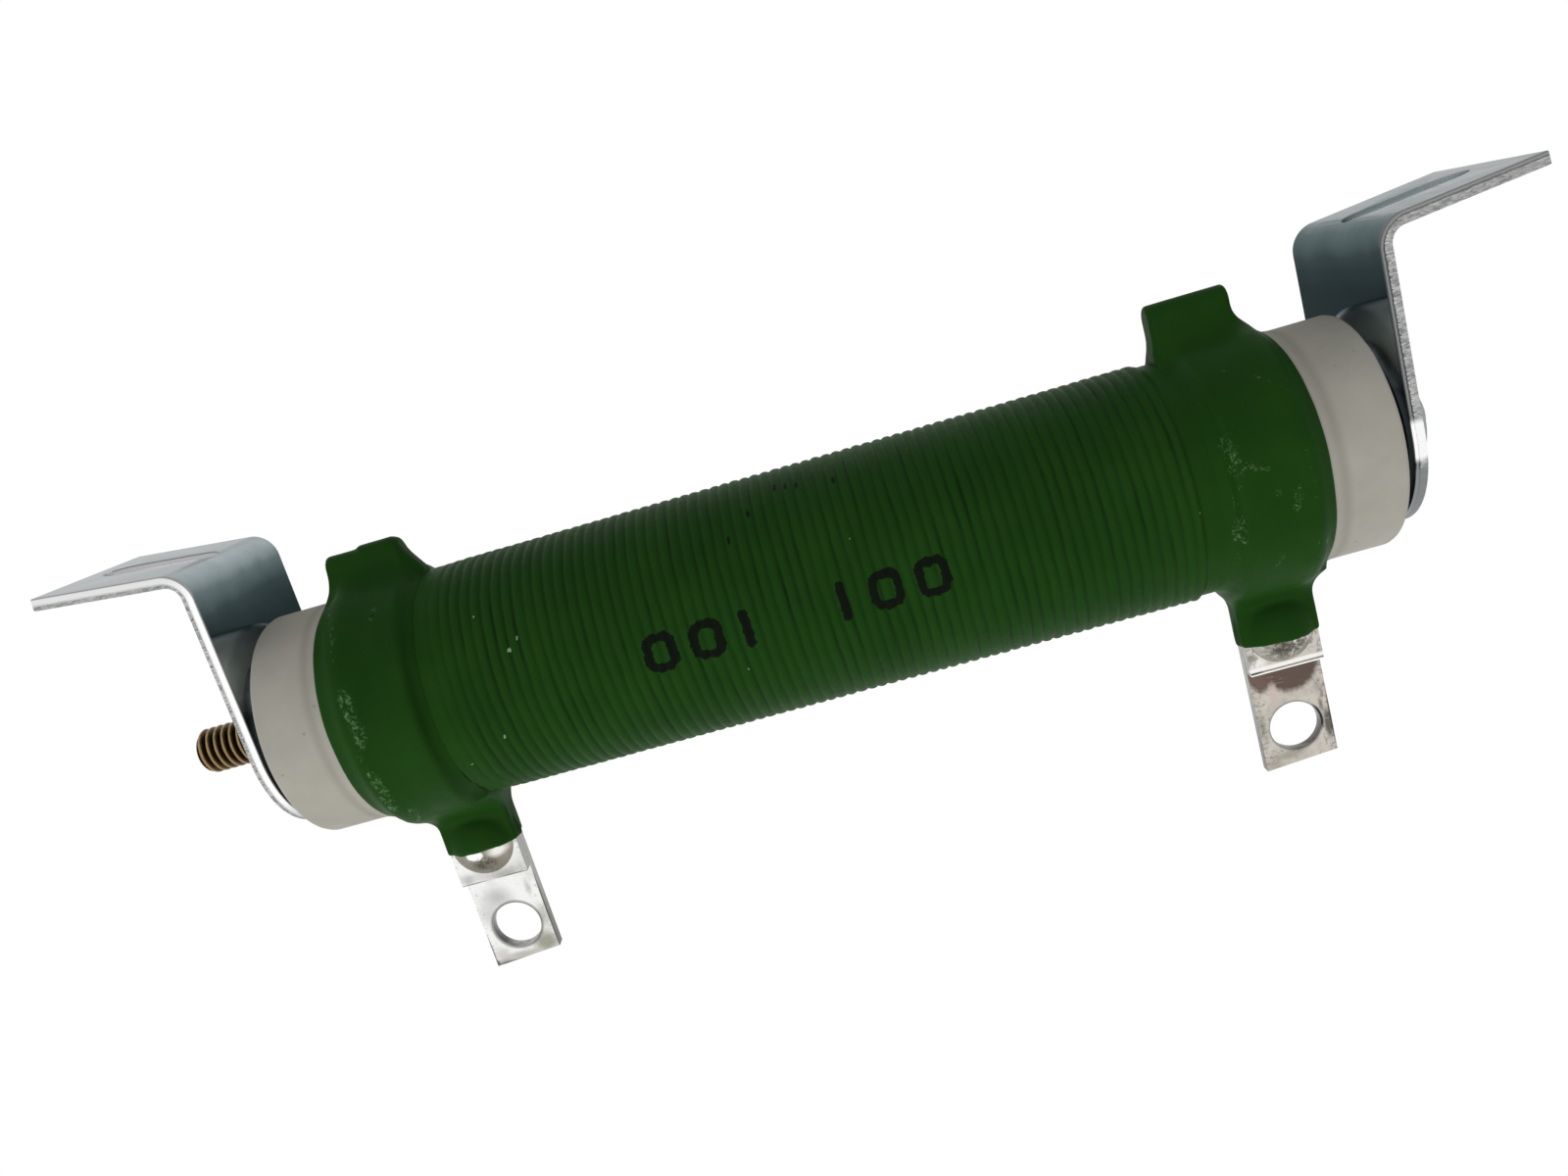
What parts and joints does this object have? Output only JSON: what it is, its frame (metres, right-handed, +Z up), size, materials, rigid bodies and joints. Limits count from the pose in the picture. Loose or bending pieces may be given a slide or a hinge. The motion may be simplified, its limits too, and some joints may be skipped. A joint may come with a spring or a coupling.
{
  "type": "braking resistor",
  "caption": "Tubular wire-wound braking resistor: a ceramic tube in a green cement coat with riveted terminal tabs, clamped by a threaded rod between slotted angle brackets.",
  "frame": {"origin": "centre of the footprint, on the plane that the tips of both feet stand on", "axes": "+X along the tube towards the end with the long rod stub, +Z up from the feet to the terminal tabs, -Y the side of the rivet heads"},
  "size_m": [0.117, 0.0212, 0.0444],
  "materials": {
    "ceramic": "matt, off-white to grey-beige",
    "wire": "nickel-chromium resistance wire",
    "green_cement": "satin, dark green",
    "tinned_strip": "bright tinned, smudged",
    "tinned_rivet": "bright tinned, smudged",
    "zinc_sheet": "blue-grey zinc plate",
    "yellow_rod": "dark yellow-bronze plate",
    "zinc_fastener": "zinc plate"
  },
  "bodies": {
    "root": {"ceramic_tube": "ceramic", "resistance_winding": "wire", "cement_coat": "green_cement", "terminal_band_left": "tinned_strip", "terminal_band_right": "tinned_strip", "terminal_rivet_left": "tinned_rivet", "terminal_rivet_right": "tinned_rivet", "mounting_bracket_left": "zinc_sheet", "mounting_bracket_right": "zinc_sheet", "through_rod": "yellow_rod", "rod_nut_left": "zinc_fastener", "rod_nut_right": "zinc_fastener", "end_washer_left": "zinc_fastener", "end_washer_right": "zinc_fastener"}
  },
  "joints": []
}
